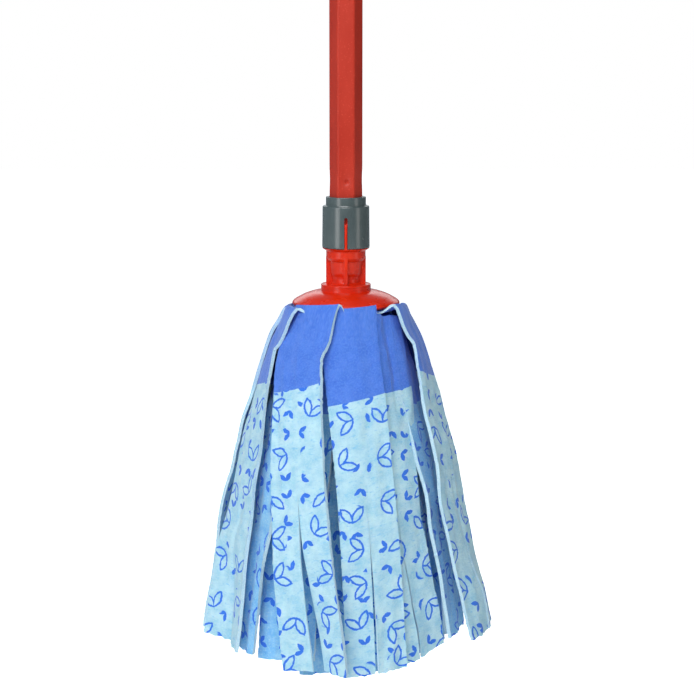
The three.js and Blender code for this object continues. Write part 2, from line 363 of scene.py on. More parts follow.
def leaf_pair(n, place, cell, chance, half_length, half_width, seed):
    """Signed distance in millimetres to a sprig of two leaves, one to a cell, and to the cell's middle.

    Where a cell has no sprig, the first distance is large.
    """
    local, pick, middle_distance = cell_grid(n, place, cell, seed)
    turn = n.new("VectorRotate")
    turn.rotation_type = "Z_AXIS"
    n.link(local, turn.inputs["Vector"])
    n.link(n.math("MULTIPLY", pick[0], 2 * math.pi), turn.inputs["Angle"])
    x, y = n.axes(turn.outputs["Vector"])
    x = n.math("ABSOLUTE", x)
    y = n.math("ADD", y, half_length * 0.55)
    lean = math.radians(38)
    along = n.math("MULTIPLY_ADD", x, math.sin(lean), n.math("MULTIPLY", y, math.cos(lean)))
    across = n.math("MULTIPLY_ADD", x, math.cos(lean), n.math("MULTIPLY", y, -math.sin(lean)))
    radius = (half_length**2 + half_width**2) / (2 * half_width)
    a = n.math("POWER", n.math("SUBTRACT", along, half_length), 2.0)
    b = n.math("POWER", n.math("ADD", n.math("ABSOLUTE", across), radius - half_width), 2.0)
    distance = n.math("SUBTRACT", n.math("SQRT", n.math("ADD", a, b)), radius)
    absent = n.math("GREATER_THAN", pick[1], chance)
    return n.math("ADD", distance, n.math("MULTIPLY", absent, 50.0)), middle_distance


def sprig_print(n, flat, fine):
    """How much ink there is at a place: large sprigs in outline, small ones solid between them."""
    large_cell = 29.0
    small_cell = 15.5
    wobble = n.new("TexNoise")
    n.link(flat, wobble.inputs["Vector"])
    wobble.inputs["Scale"].default_value = 0.45
    wobble.inputs["Detail"].default_value = 2.0
    shift = n.vector("MULTIPLY_ADD", wobble.outputs["Color"], (1.5, 1.5, 0), flat)
    large, from_large = leaf_pair(n, shift, large_cell, 0.92, 6.4, 2.8, 1)
    small, _ = leaf_pair(n, shift, small_cell, 0.8, 3.4, 1.6, 2)
    line = n.ramp(n.math("ABSOLUTE", large), 0.86, 0.52)
    clear = n.ramp(n.math("MULTIPLY", from_large, large_cell), 8.4, 9.6)
    solid = n.math("MULTIPLY", n.ramp(small, 0.12, -0.12), clear)
    worn = n.ramp(fine, 0.22, 0.42)
    return n.math("MULTIPLY", n.math("MAXIMUM", line, solid), n.math("MULTIPLY_ADD", worn, 0.25, 0.75))


def cloth(name, low, high, fleck):
    """Pale blue non-woven cloth with a dark blue middle zone and a print of leaf sprigs.

    The UV map holds metres: x across the cloth, y along it from the clamp.
    """
    n = Nodes(name)
    uv = n.new("UVMap")
    uv.uv_map = "cloth"
    flat = n.scaled(uv.outputs["UV"], (1 / MM, 1 / MM, 0))
    _, along = n.axes(flat)

    fine = n.noise(flat, 0.75, 3)
    blot = n.noise(flat, 0.1, 4)
    fibre = n.noise(n.scaled(flat, (0.6, 1.5, 1)), 0.34, 4, 0.65)
    pale = n.mix(n.ramp(blot, 0.32, 0.68), low, high)
    pale = n.mix(n.math("MULTIPLY", n.ramp(fibre, 0.52, 0.74), 0.75), pale, fleck)
    pale = n.mix(n.math("MULTIPLY", n.ramp(fine, 0.45, 0.7), 0.3), pale, linear(206, 232, 243))
    printed = n.mix(sprig_print(n, flat, fine), pale, linear(58, 118, 226))

    deep = n.mix(n.ramp(blot, 0.3, 0.7), linear(71, 117, 216), linear(83, 129, 224))
    deep = n.mix(n.math("MULTIPLY", n.ramp(fine, 0.4, 0.7), 0.6), deep, linear(101, 144, 228))
    deep = n.mix(n.math("MULTIPLY", n.ramp(fibre, 0.5, 0.75), 0.5), deep, linear(60, 103, 204))
    border = n.math("ADD", along, n.math("MULTIPLY_ADD", n.noise(flat, 0.8, 2), 0.8, -0.4))
    colour = n.mix(n.ramp(border, ZONE_END, ZONE_END + 0.5), deep, printed)

    felt = n.bump(fine, 0.0004, 0.8)
    soft = n.bump(n.noise(flat, 0.22, 3), 0.0012, 0.6, felt)
    return n.finish(
        colour, 0.92, soft, Sheen_Weight=0.25, Sheen_Roughness=0.45, Specular_IOR_Level=0.25,
        Subsurface_Weight=0.12, Subsurface_Scale=0.0015,
    )


def cloth_edge():
    n = Nodes("cut_cloth_edge")
    where = n.position()
    fuzz = n.noise(where, 1500, 3)
    colour = n.mix(n.ramp(fuzz, 0.35, 0.65), linear(172, 212, 234), linear(204, 229, 240))
    return n.finish(colour, 0.95, n.bump(fuzz, 0.0004, 0.8), Sheen_Weight=0.3)


# ---- mesh helpers
def new_object(name, verts, faces, material):
    mesh = bpy.data.meshes.new(name)
    mesh.from_pydata([tuple(v) for v in verts], [], faces)
    mesh.validate()
    mesh.update()
    obj = add_object(name, mesh)
    mesh.materials.append(material)
    smooth_by_angle(mesh)
    return obj


def smooth_by_angle(mesh, angle=SMOOTH_ANGLE):
    mesh.shade_smooth()
    mesh.set_sharp_from_angle(angle=angle)


def apply_modifiers(obj):
    bpy.context.view_layer.update()
    graph = bpy.context.evaluated_depsgraph_get()
    mesh = bpy.data.meshes.new_from_object(obj.evaluated_get(graph))
    obj.modifiers.clear()
    obj.data = mesh


def combine(obj, other, operation):
    modifier = obj.modifiers.new("join", "BOOLEAN")
    modifier.operation = operation
    modifier.solver = "EXACT"
    modifier.object = other
    apply_modifiers(obj)
    bpy.data.objects.remove(other)


def rounded_outline(points):
    """Points (r, z, fillet radius) to a list of (r, z) with each corner turned by a curve."""
    steps = 5
    out = []
    last = len(points) - 1
    for i, (r, z, fillet) in enumerate(points):
        here = np.array((r, z), float)
        if fillet == 0 or i in (0, last):
            out.append(here)
            continue
        before = np.array(points[i - 1][:2], float) - here
        after = np.array(points[i + 1][:2], float) - here
        la, lb = np.linalg.norm(before), np.linalg.norm(after)
        before, after = before / la, after / lb
        half = math.acos(max(-1, min(1, before @ after))) / 2
        reach = min(fillet / math.tan(half), 0.49 * la, 0.49 * lb)
        for t in np.linspace(0, 1, steps + 1):
            out.append(here + before * reach * (1 - t) ** 2 + after * reach * t**2)
    return out


def lathe(name, outline, material, turns=144, low=RIM):
    """Solid of revolution; the outline is in millimetres and starts and ends on the axis."""
    verts, faces, rings = [], [], []
    angles = np.linspace(0, 2 * math.pi, turns, endpoint=False)
    for r, z in outline:
        if r < 1e-6:
            rings.append([len(verts)])
            verts.append((0, 0, low + z * MM))
        else:
            rings.append(list(range(len(verts), len(verts) + turns)))
            verts += [(r * MM * math.cos(a), r * MM * math.sin(a), low + z * MM) for a in angles]
    for lower, upper in zip(rings, rings[1:]):
        for k in range(turns):
            m = (k + 1) % turns
            if len(lower) == 1:
                faces.append((lower[0], upper[m], upper[k]))
            elif len(upper) == 1:
                faces.append((lower[k], lower[m], upper[0]))
            else:
                faces.append((lower[k], lower[m], upper[m], upper[k]))
    return new_object(name, verts, faces, material)


def hexagon(flats, corner, per_corner=7, per_side=8):
    """Points round a hexagon with rounded corners, flats to the front and back, in millimetres."""
    reach = (flats / 2 - corner) / math.cos(math.pi / 6)
    arcs = []
    for side in range(6):
        a = side * math.pi / 3
        turn = np.linspace(a - math.pi / 6, a + math.pi / 6, per_corner)
        centre = reach * np.array((math.cos(a), math.sin(a)))
        arcs.append(centre + corner * np.stack((np.cos(turn), np.sin(turn)), 1))
    ring = []
    for arc, following in zip(arcs, arcs[1:] + arcs[:1]):
        ring += list(arc)
        ring += [arc[-1] + (following[0] - arc[-1]) * k / per_side for k in range(1, per_side)]
    return np.array(ring)


def ring_faces(rings, count, closed):
    """Quads between rings of points that follow each other; closed joins the last one to the first."""
    faces = []
    for i in range(rings if closed else rings - 1):
        j = (i + 1) % rings
        for k in range(count):
            m = (k + 1) % count
            faces.append((i * count + k, i * count + m, j * count + m, j * count + k))
    return faces


def skin(name, rings, material):
    """Closed solid through a list of rings of 3-D points, capped at both ends."""
    count = len(rings[0])
    verts = [p for ring in rings for p in ring]
    base = (len(rings) - 1) * count
    bottom = tuple(reversed(range(count)))
    top = tuple(range(base, base + count))
    return new_object(name, verts, [bottom, *ring_faces(len(rings), count, False), top], material)


def flat_solid(name, outline, half_depth, material):
    """Solid between y = -half_depth and half_depth, from an outline of (x, z) in millimetres."""
    count = len(outline)
    verts = [(x * MM, y * MM, z * MM) for y in (-half_depth, half_depth) for x, z in outline]
    faces = [tuple(range(count)), tuple(reversed(range(count, 2 * count)))]
    faces += [(k + count, (k + 1) % count + count, (k + 1) % count, k) for k in range(count)]
    return new_object(name, verts, faces, material)


def box_solid(name, x, y, z, bevel, material):
    """Block between pairs of limits in millimetres, heights above the rim, with rounded edges."""
    ring = [(x[0], y[0]), (x[1], y[0]), (x[1], y[1]), (x[0], y[1])]
    rings = [[(a * MM, b * MM, RIM + h * MM) for a, b in ring] for h in z]
    obj = skin(name, rings, material)
    if bevel:
        modifier = obj.modifiers.new("round", "BEVEL")
        modifier.width = bevel * MM
        modifier.segments = 3
        apply_modifiers(obj)
    return obj


def turned(obj, degrees):
    """A copy of obj turned about the mop's axis, baked into its mesh."""
    copy = add_object(obj.name, obj.data.copy())
    for v in copy.data.vertices:
        v.co.x, v.co.y = spun(v.co.x, v.co.y, math.radians(degrees))
    return copy


def join_four(obj, piece, operation, offset=0):
    for quarter in range(4):
        combine(obj, turned(piece, offset + 90 * quarter), operation)
    bpy.data.objects.remove(piece)


def settle(obj, node, body):
    """Puts a finished piece on its body in place of its CAD node."""
    smooth_by_angle(obj.data)
    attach(obj, body)
    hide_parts(node)


# ---- handle
def dent(point, height):
    """Moves a tube point inwards where the tube is crimped onto the adapter's plug."""
    x, y = point
    side = -1 if y < 0 else 1
    facing = abs(y) > TUBE_FLATS / 2 - 0.35
    pinch = 1 - 0.022 * math.exp(-(((height - CRIMP_HEIGHT - 1) / 6.5) ** 2))
    x *= pinch
    if facing:
        round_dent = math.exp(-(((x - 0.5) / 1.25) ** 2 + ((height - CRIMP_HEIGHT) / 1.35) ** 2) ** 0.9)
        wide_dent = math.exp(-((x / 4.6) ** 2 + ((height - CRIMP_HEIGHT - 1) / 5.5) ** 2))
        y -= side * (1.7 * round_dent + 0.7 * wide_dent)
    return x, y


def tube_heights(length, crimped):
    """Where a tube has rings: close together round the crimp, and at the softened ends."""
    if crimped:
        middle = list(np.arange(3, 36, 0.5)) + list(np.linspace(37, length - 1.2, 24))
    else:
        middle = list(np.linspace(8, length - 1.2, 24))
    return [0, 0.35, 1.2] + middle + [length - 0.35, length]


def make_tube(node, material, crimped):
    """Hollow hexagonal tube: rings up the outside and back down the inside, as one closed skin."""
    low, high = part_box(node)
    length = (high.z - low.z) / MM
    heights = tube_heights(length, crimped)
    section = hexagon(TUBE_FLATS, TUBE_CORNER, per_side=26 if crimped else 8)

    def ring(height, scale):
        above_rim = (low.z - RIM) / MM + height
        points = [dent(p, above_rim) if crimped else p for p in section]
        return [(x * MM * scale, y * MM * scale, low.z + height * MM) for x, y in points]

    soft_end = 1 - 0.012
    inside = 1 - 2 * TUBE_WALL / TUBE_FLATS
    loops = [ring(h, soft_end if h in (0, length) else 1) for h in heights]
    loops += [ring(h, inside) for h in reversed(heights[1:-1])]
    verts = [p for loop in loops for p in loop]
    faces = ring_faces(len(loops), len(section), True)
    tube = new_object(node + "_skin", verts, faces, material)
    settle(tube, node, "handle")


def hex_solid(name, sections, material, low):
    """Solid through hexagon sections (height, flats, corner) in millimetres above low."""
    rings = []
    for height, flats, corner in sections:
        ring = hexagon(flats, corner, per_side=2)
        rings.append([(x * MM, y * MM, low + height * MM) for x, y in ring])
    return skin(name, rings, material)


def make_coupler(node, material):
    """Bored plug with a collar in two rings; the tubes push onto it from both sides."""
    low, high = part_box(node)
    collar = TUBE_FLATS + 2
    length = (high.z - low.z) / MM
    a = 28.3
    b = length - a
    middle = (a + b) / 2
    sections = [
        (0, PLUG_FLATS - 1.6, PLUG_CORNER), (0.8, PLUG_FLATS, PLUG_CORNER), (a, PLUG_FLATS, PLUG_CORNER),
        (a, collar - 0.8, 2.6), (a + 0.5, collar, 3),
        (middle - 0.5, collar, 3), (middle - 0.3, collar - 0.6, 2.8),
        (middle + 0.3, collar - 0.6, 2.8), (middle + 0.5, collar, 3),
        (b - 0.5, collar, 3), (b, collar - 0.8, 2.6),
        (b, PLUG_FLATS, PLUG_CORNER), (length - 0.8, PLUG_FLATS, PLUG_CORNER),
        (length, PLUG_FLATS - 1.6, PLUG_CORNER),
    ]
    coupler = hex_solid(node + "_skin", sections, material, low.z)
    bore = lathe("bore", [(0, -1), (6.5, -1), (6.5, length + 1), (0, length + 1)], material, 48, low.z)
    combine(coupler, bore, "DIFFERENCE")
    settle(coupler, node, "handle")


def make_tongue(base, material):
    """Flat hanging tongue with a round eye and soft edges, from the height base up."""
    half, thick = 11.0, 6.0
    arch = np.linspace(0, math.pi, 49)
    circle = np.linspace(0, 2 * math.pi, 64, False)
    outline = [(-half, base), (half, base)]
    outline += [(half * math.cos(a), -EYE_RADIUS + half * math.sin(a)) for a in arch]
    tongue = flat_solid("tongue", outline, thick, material)
    hole_outline = [(EYE_RADIUS * math.cos(a), EYE_RADIUS * math.sin(a) - EYE_RADIUS) for a in circle]
    hole = flat_solid("hole", hole_outline, thick + 2, material)
    combine(tongue, hole, "DIFFERENCE")
    modifier = tongue.modifiers.new("round", "BEVEL")
    modifier.width = 1.2 * MM
    modifier.segments = 4
    modifier.limit_method = "ANGLE"
    modifier.angle_limit = math.radians(50)
    apply_modifiers(tongue)
    return tongue


def make_end_cap(material):
    tube_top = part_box("upper_tube")[1].z / MM
    sections = [
        (-12, TUBE_FLATS + 2.2, 3), (-11.2, TUBE_FLATS + 3, 3.5), (-0.5, TUBE_FLATS + 3, 3.5),
        (2.6, TUBE_FLATS + 1.6, 3), (4, TUBE_FLATS - 1.5, 2.5),
    ]
    cap = hex_solid("end_cap_skin", sections, material, tube_top * MM)
    pocket_sections = [(-13, TUBE_FLATS + 0.6, 2.3), (0.3, TUBE_FLATS + 0.6, 2.3)]
    pocket = hex_solid("pocket", pocket_sections, material, tube_top * MM)
    combine(cap, pocket, "DIFFERENCE")
    plug_sections = [
        (-24, PLUG_FLATS - 1.6, PLUG_CORNER), (-23, PLUG_FLATS, PLUG_CORNER), (1, PLUG_FLATS, PLUG_CORNER),
    ]
    plug = hex_solid("plug", plug_sections, material, tube_top * MM)
    combine(cap, plug, "UNION")
    combine(cap, make_tongue(tube_top + 2, material), "UNION")
    settle(cap, "end_cap", "handle")


def adapter_slot(material):
    """Cutter for one slot of the sleeve, open below and round at its top."""
    half = 1.2
    top = 62.8
    slot = box_solid("slot", (-half, half), (-20, -14), (39, top), 0, material)
    round_end = lathe("round_end", [(0, 14), (half, 14), (half, 20), (0, 20)], material, 32, 0)
    for v in round_end.data.vertices:
        x, y, z = v.co
        v.co = (x, -z, RIM + top * MM + y)
    combine(slot, round_end, "UNION")
    return slot


def adapter_plug(material):
    """The part of the adapter inside the lower tube, pinched flat where the tube is crimped."""
    flats = 18.4
    sections = [(height, flats, PLUG_CORNER) for height in (71, 86, 101)] + [(102, 17, PLUG_CORNER)]
    plug = hex_solid("plug", sections, material, RIM)
    for v in plug.data.vertices:
        height = (v.co.z - RIM) / MM
        if 80 < height < 90:
            v.co.y *= 0.86
    return plug


def adapter_bump(material):
    """Small raised mark on the right of the sleeve."""
    sleeve_radius = 17.5
    outline = rounded_outline([(0, -1.3, 0), (0.75, -0.7, 0.6), (0.75, 0.7, 0.6), (0, 1.3, 0)])
    bump = lathe("bump", outline, material, 24, 0)
    for v in bump.data.vertices:
        x, y = spun(v.co.x, v.co.y * 0.5 - sleeve_radius * MM, math.radians(47))
        v.co = (x, y, v.co.z + RIM + 48.2 * MM)
    return bump


def make_adapter(material):
    outline = rounded_outline([
        (0, 69.4, 0), (15.4, 69.4, 0.5), (15.4, 41.3, 0.2), (15.7, 41.1, 0.1), (17.5, 41.1, 0.5),
        (17.55, 42.3, 1), (17.2, 71.1, 0.9), (16.9, 71.7, 0.4), (14.95, 71.75, 0.35), (14.75, 72.4, 0.5),
        (14.75, 78.3, 0.5), (0, 78.3, 0),
    ])
    adapter = lathe("handle_adapter_skin", outline, material)
    join_four(adapter, adapter_slot(material), "DIFFERENCE")
    pocket_sections = [
        (72.3, TUBE_FLATS + 0.5, 2.2), (77.9, TUBE_FLATS + 0.5, 2.2), (79, TUBE_FLATS + 1.9, 2.8),
    ]
    combine(adapter, hex_solid("pocket", pocket_sections, material, RIM), "DIFFERENCE")
    combine(adapter, adapter_plug(material), "UNION")
    combine(adapter, adapter_bump(material), "UNION")
    settle(adapter, "handle_adapter", "handle")


# ---- head
def dome_arc(points):
    """Smooth curve through the dome's points."""
    steps = 5
    radius, height = zip(*points)
    t = np.cumsum([0] + [math.dist(a, b) for a, b in zip(points, points[1:])])
    fine = np.linspace(0, t[-1], steps * len(points))
    return list(zip(smooth_curve(t, radius, fine), smooth_curve(t, height, fine)))


def smooth_curve(t, values, at):
    """Smooth cubic through values at t, with slopes taken from the neighbours."""
    t, values = np.asarray(t, float), np.asarray(values, float)
    slope = np.gradient(values, t)
    k = np.clip(np.searchsorted(t, at, side="right") - 1, 0, len(t) - 2)
    h = t[k + 1] - t[k]
    u = (np.asarray(at) - t[k]) / h
    a = (1 + 2 * u) * (1 - u) ** 2
    b = u * (1 - u) ** 2
    c = u**2 * (3 - 2 * u)
    d = u**2 * (u - 1)
    return a * values[k] + b * h * slope[k] + c * values[k + 1] + d * h * slope[k + 1]


def make_socket(material):
    """Dome, flange, finned neck and ribbed spigot: one turned body with its fins, ribs and recesses."""
    under = [
        (0, -BOSS_BELOW_RIM, 0), (22, -BOSS_BELOW_RIM, 0.6), (22.6, 5.4, 1), (27.6, 4.2, 0),
        (34.6, 0.6, 0.5), (36.4, -1.2, 0.3),
    ]
    rim = [(37.2, -1.75), (38.6, -1.5), (39.6, -0.65), (39.8, 0.1), (39.2, 1.25), (37.9, 2.35), (36.1, 3.4)]
    dome = rim + [(32.6, 5.35), (28.5, 7.0), (23.1, 8.5), (19.2, 8.95)]
    above = [
        (18.5, 9.0, 0.4), (18.4, 10.6, 0), (18.25, 10.75, 0), (18.4, 10.9, 0), (18.4, 12.2, 0),
        (18.27, 12.33, 0), (18.4, 12.46, 0), (18.4, 14.0, 0.7), (12.0, 13.9, 1.2), (10.3, 15.2, 1.6),
        (10.2, 18.0, 1.0), (10.5, 19.6, 1.0), (11.5, 22.0, 2.5), (12.3, 31.0, 0.5), (13.2, 31.2, 1.2),
        (14.55, 33.6, 2.0), (14.55, 38.6, 0.6), (17.2, 40.3, 0.5), (17.4, 40.7, 0.2), (15.0, 40.7, 0),
        (15.0, 68.0, 0.5), (14.4, 68.6, 0.3), (12.8, 68.6, 0.3), (12.8, 41, 1), (9.2, 30, 1), (7.4, 17, 1),
        (0, 16, 0),
    ]
    outline = rounded_outline(under) + dome_arc(dome) + rounded_outline(above)
    socket = lathe("mop_socket_skin", outline, material)
    fin = box_solid("fin", (-1.4, 1.4), (-14.7, -9.2), (13.6, 34.5), 0.35, material)
    join_four(socket, fin, "UNION")
    rib = box_solid("rib", (-0.95, 0.95), (-17.15, -14), (40.2, 58.9), 0.3, material)
    join_four(socket, rib, "UNION")
    hole = box_solid("hole", (-2.1, 2.1), (-16.1, -11.9), (-4, 4.1), 0, material)
    join_four(socket, hole, "DIFFERENCE", 45)
    window = box_solid("window", (-1.6, 1.6), (-16.1, -13.1), (59.4, 65.2), 0, material)
    join_four(socket, window, "DIFFERENCE")
    settle(socket, "mop_socket", "head")


def make_clamp_plate(material):
    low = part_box("clamp_plate")[0].z
    top = CLOTH_TOP - BAND_COUNT * CLOTH_PITCH - (low - RIM) / MM
    outline = rounded_outline([
        (0, 0.8, 0), (13, 0.8, 0.6), (14, 0, 0.6), (19.2, 0, 0.8), (20, 1, 0.6), (20, top, 0.3),
        (0, top, 0),
    ])
    plate = lathe("clamp_plate_skin", outline, material, 96, low)
    peg_outline = [(0, top - 1), (1.7, top - 1), (1.7, top + 18.4), (1.1, top + 19), (0, top + 19)]
    peg = lathe("peg", peg_outline, material, 24, low)
    for v in peg.data.vertices:
        v.co.y -= 14 * MM
    join_four(plate, peg, "UNION", 45)
    settle(plate, "clamp_plate", "head")


# ---- cloth bands
class Shell:
    """Surface of revolution that a band hangs on: radius and height against length from the clamp."""

    def __init__(self, order):
        inward = (order / (BAND_COUNT - 1)) ** 1.2
        points = [(0.0, 0.0), (12.0, 0.0)]
        for outer, inner in zip(OUTER_BAND, INNER_BAND):
            points.append(tuple(a + (b - a) * inward for a, b in zip(outer, inner)))
        radius, height = np.array(points).T
        t = np.concatenate(([0], np.cumsum(np.hypot(np.diff(radius), np.diff(height)))))
        fine = np.linspace(0, t[-1], 1500)
        self.r = smooth_curve(t, radius, fine)
        self.z = smooth_curve(t, height, fine) + CLOTH_TOP - order * CLOTH_PITCH
        self.s = np.concatenate(([0], np.cumsum(np.hypot(np.diff(self.r), np.diff(self.z)))))
        self.length = self.s[-1]
        self.dr = np.gradient(self.r, self.s)
        self.dz = np.gradient(self.z, self.s)

    def at(self, s):
        """Radius, height and outward normal at length s; the end goes on straight."""
        over = np.maximum(s - self.length, 0)
        r = np.interp(s, self.s, self.r) + over * self.dr[-1]
        z = np.interp(s, self.s, self.z) + over * self.dz[-1]
        dr, dz = np.interp(s, self.s, self.dr), np.interp(s, self.s, self.dz)
        return r, z, -dz, dr

    def flat_height(self, radius):
        return np.interp(radius, self.r, self.z)


def smoothstep(x, low, high):
    t = np.clip((x - low) / (high - low), 0, 1)
    return t * t * (3 - 2 * t)


def wander(s, seed, wavelength):
    """Slow seeded noise from -1 to 1 along a band."""
    flat = np.ravel(s)
    values = [noise.noise((x / wavelength, seed * 7.31, seed * 1.7)) for x in flat]
    return np.reshape(values, np.shape(s)) * NOISE_GAIN


class End:
    """One hanging end of a band. Lengths are in millimetres and angles in degrees.

    turns: azimuths down the end, 0 at the front and 90 at the right, evenly spaced in length
    lift: how far the left and right edges stand off, at the top, middle and bottom
    tails: for the left and right tail, (sideways shift, stand-off, twist) at the cut end
    trim: length more than the shell's
    slant: how the cut end's length grows from left to right, as a share of the width
    border, tilt: shift and slope of the edge of the dark zone
    pleat: (place across, width, depth, top, bottom) of a crease, or None
    wave: strength of the waves and folds
    bulge: stand-off of the whole strip, evenly spaced in length
    shoulder: how far the left and right sides rise over the dome's rim
    roll: turn of the whole strip about its own length, evenly spaced; the right edge comes out
    """

    def __init__(self, turns, lift=((0, 0), (0, 0), (0, 0)), tails=((-1, 0, 0), (1, 0, 0)), trim=0.0,
                 slant=0.0, border=0.0, tilt=0.0, pleat=None, wave=1.0, bulge=(0, 0, 0), shoulder=(3, 3),
                 roll=(0, 0)):
        self.turns, self.lift, self.tails = turns, lift, tails
        self.trim, self.slant, self.border, self.tilt = trim, slant, border, tilt
        self.pleat, self.wave, self.bulge, self.shoulder = pleat, wave, bulge, shoulder
        self.roll = roll


def spread(values, share):
    """Smooth value down a band: values are evenly spaced over share 0 to 1."""
    return smooth_curve(np.linspace(0, 1, len(values)), values, np.clip(share, 0, 1))


def share_down(shell, end, s):
    """How far down its hanging part a place is: 0 at the dome's edge, 1 at the cut end."""
    length = shell.length + end.trim
    return np.clip((s - HANG_START) / (length - HANG_START), 0, 1)


def middle_line(shell, end, s):
    """Azimuth down an end in radians, and how steeply its middle line runs sideways."""
    step = 2.0
    turn = np.radians(spread(end.turns, share_down(shell, end, s)))
    turn_below = np.radians(spread(end.turns, share_down(shell, end, s + step)))
    slope = shell.at(s)[0] * (turn_below - turn) / step
    return turn, slope * smoothstep(s, 34, 60)


def parted(shell, end, s, v):
    """Place across an end and its stand-off, once the two tails part and the strip rolls."""
    tail = smoothstep(s, SLIT_START, shell.length + end.trim) * (s > SLIT_START)
    side = np.where(v >= 0, 1, 0)
    shift, stand, twist = (np.array(values)[side] for values in zip(*end.tails))
    twist = np.radians(twist) * tail
    middle = np.where(side, HALF / 2, -HALF / 2)
    inner = v - middle
    across = np.where(tail > 0, middle + inner * np.cos(twist), v) + shift * tail
    off = np.where(tail > 0, inner * np.sin(twist), 0) + stand * tail
    roll = np.radians(spread(end.roll, share_down(shell, end, s))) * smoothstep(s, 44, 90)
    return across * np.cos(roll), off + across * np.sin(roll)


def relief(shell, end, s, v, seed):
    """Stand-off from the cloth's own shape: lifted edges, waves, folds and a pleat."""
    share = share_down(shell, end, s)
    left = spread([pair[0] for pair in end.lift], share)
    right = spread([pair[1] for pair in end.lift], share)
    off = np.where(v < 0, left, right) * np.abs(v / HALF) ** 3 * smoothstep(s, 38, 70)
    waves = 0.9 * wander(s, seed, 34) + 0.5 * wander(s + 3 * v, seed + 50, 22)
    off += smoothstep(s, 45, 120) * end.wave * waves
    off += spread(end.bulge, share) * smoothstep(s, 40, 80)
    places = zip(np.ravel(v), np.ravel(s))
    fold = np.array([noise.noise((x / 6.5, y / 48.0, seed * 2.9)) for x, y in places])
    off += 1.7 * end.wave * np.reshape(fold, np.shape(s)) * smoothstep(s, 44, 66)
    if end.pleat:
        place, width, depth, top, bottom = end.pleat
        window = smoothstep(s, top - 18, top + 6) * (1 - smoothstep(s, bottom - 10, bottom + 14))
        off -= depth * np.exp(-(((v - place) / width) ** 2)) * window
    return off


def laid_points(shell, end, s, v):
    """Points of an end as if it lay flat under the clamp, straight out at its first azimuth."""
    turn = math.radians(end.turns[0])
    x = s * math.sin(turn) + v * math.cos(turn)
    y = v * math.sin(turn) - s * math.cos(turn)
    return np.stack((x, y, shell.flat_height(np.hypot(x, y))), -1)


def end_points(shell, end, s, v, seed):
    """Points of an end in millimetres: s along from the clamp, v across, as arrays of one shape."""
    turn, slope = middle_line(shell, end, s)
    norm = np.sqrt(1 + slope**2)
    across, off = parted(shell, end, s, v)
    off = off + relief(shell, end, s, v, seed)
    r, z, nr, nz = shell.at(s - across * slope / norm)
    azimuth = turn + across / norm / np.maximum(r, 20)
    radius = r + off * nr
    left, right = end.shoulder
    shoulder = left + (right - left) * (v + HALF) / BAND_WIDTH
    height = z + off * nz + shoulder * np.exp(-(((s - SHOULDER_AT) / SHOULDER_SPREAD) ** 2))
    hung = np.stack((radius * np.sin(azimuth), -radius * np.cos(azimuth), height), -1)
    weight = smoothstep(s, 26, 46)[..., None]
    return laid_points(shell, end, s, v) * (1 - weight) + hung * weight


def thicken(top, faces, normals, thickness):
    """Closed skin from an open one: the under side is set back along the normals."""
    count = len(top)
    under = top - normals * thickness[:, None]
    verts = np.concatenate((top, under))
    all_faces = [tuple(f) for f in faces] + [tuple(i + count for i in reversed(f)) for f in faces]
    used = {}
    for f in faces:
        for a, b in zip(f, f[1:] + f[:1]):
            used[(a, b)] = used.get((a, b), 0) + 1
    rim = [(a, b) for (a, b) in used if (b, a) not in used]
    walls = [(b, a, a + count, b + count) for a, b in rim]
    return verts, all_faces, walls


def end_grid(end, length, seed):
    """Places (s, v) all over an end, with uneven long sides and an uneven cut."""
    rows = np.concatenate((np.linspace(0, 32, 9), np.linspace(34.2, length, 122)))
    columns = np.linspace(-HALF, HALF, 2 * COLUMNS + 1)
    cut = np.array([noise.noise((c / 2.3, seed * 3.7, 1.1)) for c in columns]) * NOISE_GAIN
    near_cut = smoothstep(rows, length - 25, length)[:, None]
    s = np.repeat(rows[:, None], len(columns), 1) + (end.slant * columns + cut)[None, :] * near_cut
    v = np.repeat(columns[None, :], len(rows), 0)
    for side in (0, 1):
        v[:, -side] += [noise.noise((x / 2.6, seed * 5.1, side * 9.0)) * 0.9 for x in rows]
    return rows, s, v


def half_grids(rows, s, v):
    """The left and the right half of a grid, whose lips part a hair where the slit starts."""
    lip = 0.02
    past = rows > SLIT_START
    left, right = v[:, :COLUMNS + 1].copy(), v[:, COLUMNS:].copy()
    left[past, -1] -= lip
    right[past, 0] += lip
    return (s[:, :COLUMNS + 1], left), (s[:, COLUMNS:], right)


def number_points(points, grids, slit_row, centre_row):
    """Adds an end's points to the list and returns their numbers by half, row and column.

    Above the slit the halves share their middle column. The second end starts from the first one's
    centre row, the other way round.
    """
    index = np.zeros((2, len(grids[0]), COLUMNS + 1), int)
    for half, i, j in np.ndindex(index.shape):
        if half == 1 and j == 0 and i < slit_row:
            index[half, i, j] = index[0, i, COLUMNS]
        elif centre_row and i == 0:
            index[half, i, j] = centre_row[2 * COLUMNS - half * COLUMNS - j]
        else:
            index[half, i, j] = len(points)
            points.append(grids[half][i, j])
    return index


def make_band(number, order, ends, face_material, edge_material):
    """A band: one cloth strip through the clamp with two hanging ends, each slit up its middle."""
    shell = Shell(order)
    points, faces, maps, centre_row = [], [], [], []
    for which, end in enumerate(ends):
        seed = 10 * number + which
        rows, s, v = end_grid(end, shell.length + end.trim, seed)
        halves = half_grids(rows, s, v)
        maps += [(end, *half) for half in halves]
        grids = [end_points(shell, end, *half, seed) for half in halves]
        slit_row = int(np.argmax(rows > SLIT_START))
        index = number_points(points, grids, slit_row, centre_row)
        centre_row = list(index[0, 0]) + list(index[1, 0, 1:])
        for half, i, j in np.ndindex(2, len(rows) - 1, COLUMNS):
            (a, b), (d, c) = index[half, i:i + 2, j:j + 2].tolist()
            faces.append(((a, d, c, b), which, half, i, j))
    band_object(number, np.array(points), faces, maps, (face_material, edge_material))


